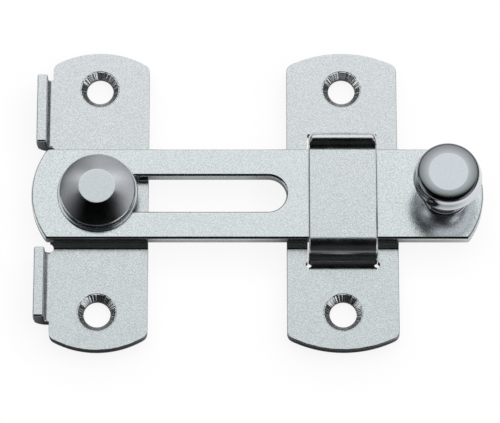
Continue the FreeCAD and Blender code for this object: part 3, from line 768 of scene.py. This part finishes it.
# %% [markdown]
# The tongue's side view is a line of points: the root bend, the wall, the top bend, the long flat top and
# the lip. The window's front edge is drawn out along that line, step by step, and its last two corners
# are rounded. The plate was made round the origin, and only now moves to its place under the bar's end.

# %% Keeper plate: tongue
LIP_END = (10.421, 9.144)

tongue_side = arc_points((-14.0, 3.7), 1.7, -90, 0, 8) + arc_points((-9.3, 4.75), 3.0, 180, 90, 11)
tongue_side += arc_points((7.8, 9.75), 2.0, -90, -55, 6) + [(9.4, 8.429), LIP_END]
print("tongue root edges:", choose(
    keeper, "EDGE", lambda x, y, z: abs(x) < TONGUE_HALF + 0.01 and abs(y - WINDOW[0]) < 0.01, along=0))
for here, there in zip(tongue_side, tongue_side[1:]):
    step = Vector((0, there[0] - here[0], there[1] - here[1])) * MM
    bpy.ops.mesh.extrude_region_move(TRANSFORM_OT_translate={"value": step})
print("lip corners:", choose(keeper, "VERT", lambda x, y, z: z > 9.1))
bpy.ops.mesh.bevel(offset=1.25 * MM, segments=6, affect="VERTICES")
bpy.ops.mesh.select_all(action="SELECT")
bpy.ops.transform.translate(value=(KEEPER_X * MM, 0, 0))
bpy.ops.object.mode_set(mode="OBJECT")
thicken(keeper)

# %% [markdown]
# The lip's end gets the widest roll and the tongue's edges a narrower one. The plate's outer edges have a
# clamped roll as on the base plate, about two tenths of a millimetre wide, and the window's rim stays
# sharp. A small round notch on each side of the root keeps the bend from tearing the plate.

# %% Keeper plate: edges and holes
RELIEF_RADIUS = 0.6
RELIEF_Y = -12.95


def on_lip_top(point):
    """On the upper face of the lip, which slopes by 35 degrees."""
    return point.z > 8.2 and abs(point.z - LIP_END[1] + 0.7 * (LIP_END[0] - point.y)) < 0.03


def off_window(middle, run):
    """Not upright, and not on the low edges round the tongue's window."""
    at_root = middle.z < 4 and abs(middle.x - KEEPER_X) < 6.8 and abs(middle.y) < 14.1
    return abs(run.z) < 0.9 and not at_root


roll_edges(keeper, 1.2, segments=7, test=lambda middle, run: on_lip_top(middle) and middle.y > 9.3)
roll_edges(keeper, 0.6, profile=0.55, clamp=True, test=lambda middle, run: (
    off_window(middle, run) and middle.z < 3 and not on_crease(middle)))
roll_edges(keeper, 0.45, test=lambda middle, run: middle.z > 3.3 and abs(middle.x - KEEPER_X) < 7)
for side in (1, -1):
    deselect()
    bpy.ops.mesh.primitive_cylinder_add(vertices=40, radius=RELIEF_RADIUS * MM, depth=7.4 * MM,
                                        location=((KEEPER_X + 6.4 * side) * MM, RELIEF_Y * MM, 0))
    take_out(keeper, bpy.context.object)
for way in (1, -1):
    take_out(keeper, countersink(KEEPER_X, HOLE_Y * way))
join_flats(keeper)
flat_shading(keeper)
hand_over(keeper, keeper_steel, "keeper_plate", "mounting")

# %% [markdown]
# The slide bar is 2.5 mm flat stock with a long slot for the stud. Both its ends are arched. The slot is
# punched, so here it is cut with one closed shape. The knob's hole is countersunk from below for the tail
# that is spread in it. Only then are the outer edges and the slot's rolled at once.

# %% Slide bar
BAR_LENGTH = 85
BAR_MIDDLE = 30
BAR_HALF = 9
BAR_ARC = 15.5
BAR_STOCK = 2.5
SLOT_HALF = 3.5
SLOT_TRAVEL = 32

end = arched_end(BAR_LENGTH / 2, BAR_HALF, BAR_HALF, BAR_ARC, 0.7)
bar = blank("slide_sheet", [(BAR_MIDDLE + y, -x) for x, y in end] + [(BAR_MIDDLE - y, x) for x, y in end],
            BAR_FACE)
finish_modifier(bar, "thickness", "SOLIDIFY", thickness=BAR_STOCK * MM, offset=-1)
cutter = blank("slot", arc_points((0, 0), SLOT_HALF, 90, 270, 33)
               + arc_points((SLOT_TRAVEL, 0), SLOT_HALF, -90, 90, 33), 8)
finish_modifier(cutter, "thickness", "SOLIDIFY", thickness=8 * MM, offset=-1)
take_out(bar, cutter)
take_out(bar, turn_piece("tail_seat", KNOB_X, [
    (0, 2.0), (3.45, 2.0), (3.45, 2.95), (2.52, 3.9), (2.52, 6.5), (0, 6.5)], steps=48))
join_flats(bar)
roll_edges(bar, 0.5, slide=False, test=lambda middle, run: (
    abs(run.z) < 0.9 and math.hypot(middle.x - KNOB_X, middle.y) > 4))
flat_shading(bar)
hand_over(bar, bar_steel, "slide_bar", "bar")

# %% [markdown]
# Last, the plain view transform keeps colours as they are written. Nothing here changes the latch's size.

# %% View transform
bpy.context.scene.view_settings.view_transform = "Standard"
